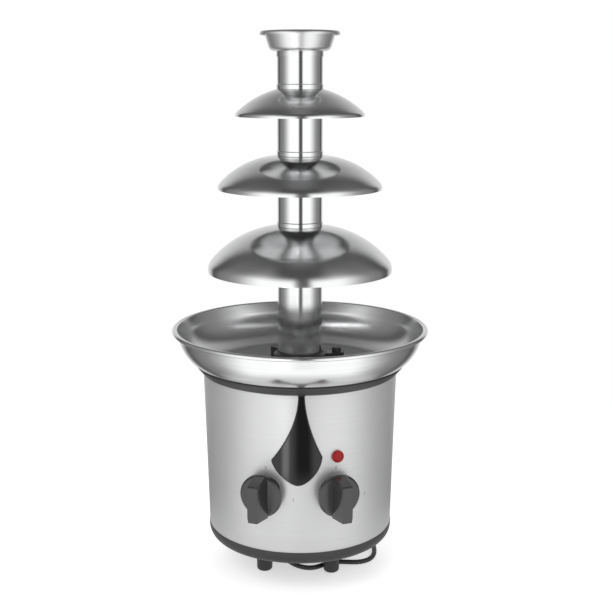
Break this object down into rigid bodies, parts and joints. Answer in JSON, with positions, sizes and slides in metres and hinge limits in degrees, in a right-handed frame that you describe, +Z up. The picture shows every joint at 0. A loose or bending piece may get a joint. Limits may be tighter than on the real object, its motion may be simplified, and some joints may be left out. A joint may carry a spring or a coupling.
{
  "type": "chocolate fountain",
  "caption": "Tabletop chocolate fountain: polished drum housing with front knobs, wide rolled-lip bowl, and a screw-fed tower of stacked tubes with domed tiers and a crown cup.",
  "frame": {"origin": "on the table, under the middle of the object: the soles of the feet are at z = 0", "axes": "+Z up along the tower, -Y towards the front with the knobs, +X to the right seen from the front"},
  "size_m": [0.239, 0.2822, 0.501],
  "materials": {
    "polished_steel": "mirror polished",
    "black_plastic": "satin, dark grey",
    "gloss_black": "high gloss",
    "zinc_steel": "zinc plated",
    "silicone": "matt",
    "brass": "turned",
    "bare_aluminium": "as cast",
    "element_sheath": "oxidised sheath",
    "cream_plastic": "matt",
    "white_plastic": "smooth, food grade",
    "red_lens": "clear red lens",
    "cord_rubber": "satin sheath"
  },
  "bodies": {
    "base": {"base_tray": "black_plastic", "feet": "black_plastic", "foot_screws": "zinc_steel", "housing_shell": "polished_steel", "drop_panel": "gloss_black", "top_ring": "black_plastic", "bowl": "polished_steel", "tower_seat": "black_plastic", "seat_gasket": "silicone", "seat_nut": "brass", "shaft_bush": "brass", "shaft_seal": "silicone", "heat_spreader": "bare_aluminium", "heating_element": "element_sheath", "thermostat": "cream_plastic", "thermal_fuse": "cream_plastic", "tie_rods": "zinc_steel", "tie_nuts": "zinc_steel", "motor_bracket": "zinc_steel", "gearbox": "bare_aluminium", "gear_motor": "zinc_steel", "motor_screws": "zinc_steel", "motor_switch": "cream_plastic", "heat_switch": "cream_plastic", "switch_nuts": "zinc_steel", "indicator_lamp": "cream_plastic", "indicator_lens": "red_lens", "terminal_block": "cream_plastic", "strain_relief": "cord_rubber", "power_cord": "cord_rubber", "cord_coil": "cord_rubber", "cord_tie": "cord_rubber", "plug_body": "cord_rubber", "plug_pins": "brass"},
    "drive": {"output_shaft": "zinc_steel", "drive_head": "polished_steel", "drive_pin": "zinc_steel"},
    "auger": {"auger": "white_plastic"},
    "tower": {"base_tube": "polished_steel"},
    "large_tier": {"large_tier": "polished_steel"},
    "middle_tube": {"middle_tube": "polished_steel"},
    "medium_tier": {"medium_tier": "polished_steel"},
    "upper_tube": {"upper_tube": "polished_steel"},
    "small_tier": {"small_tier": "polished_steel"},
    "crown": {"crown_tube": "polished_steel", "crown_cup": "polished_steel"},
    "motor_knob": {"motor_knob": "black_plastic", "motor_spindle": "zinc_steel"},
    "heat_knob": {"heat_knob": "black_plastic", "heat_spindle": "zinc_steel"}
  },
  "joints": [
    {"name": "motor_knob_turn", "type": "hinge", "parent": "base", "child": "motor_knob", "pos_m": [-0.03099, -0.08289, 0.0987], "axis": [0.3502, 0.9367, 0], "range_deg": [0, 90]},
    {"name": "heat_knob_turn", "type": "hinge", "parent": "base", "child": "heat_knob", "pos_m": [0.03099, -0.08289, 0.0987], "axis": [-0.3502, 0.9367, 0], "range_deg": [0, 90]},
    {"name": "auger_spin", "type": "hinge", "parent": "base", "child": "drive", "pos_m": [0, 0, 0.216], "axis": [0, 0, 1], "continuous": true},
    {"name": "auger_lift", "type": "slide", "parent": "drive", "child": "auger", "axis": [0, 0, 1], "range_m": [0, 0.3]},
    {"name": "tower_lift", "type": "slide", "parent": "base", "child": "tower", "axis": [0, 0, 1], "range_m": [0, 0.3]},
    {"name": "large_tier_lift", "type": "slide", "parent": "tower", "child": "large_tier", "axis": [0, 0, 1], "range_m": [0, 0.17]},
    {"name": "middle_tube_lift", "type": "slide", "parent": "large_tier", "child": "middle_tube", "axis": [0, 0, 1], "range_m": [0, 0.16]},
    {"name": "medium_tier_lift", "type": "slide", "parent": "middle_tube", "child": "medium_tier", "axis": [0, 0, 1], "range_m": [0, 0.105]},
    {"name": "upper_tube_lift", "type": "slide", "parent": "medium_tier", "child": "upper_tube", "axis": [0, 0, 1], "range_m": [0, 0.1]},
    {"name": "small_tier_lift", "type": "slide", "parent": "upper_tube", "child": "small_tier", "axis": [0, 0, 1], "range_m": [0, 0.045]},
    {"name": "crown_lift", "type": "slide", "parent": "small_tier", "child": "crown", "axis": [0, 0, 1], "range_m": [0, 0.04]}
  ]
}
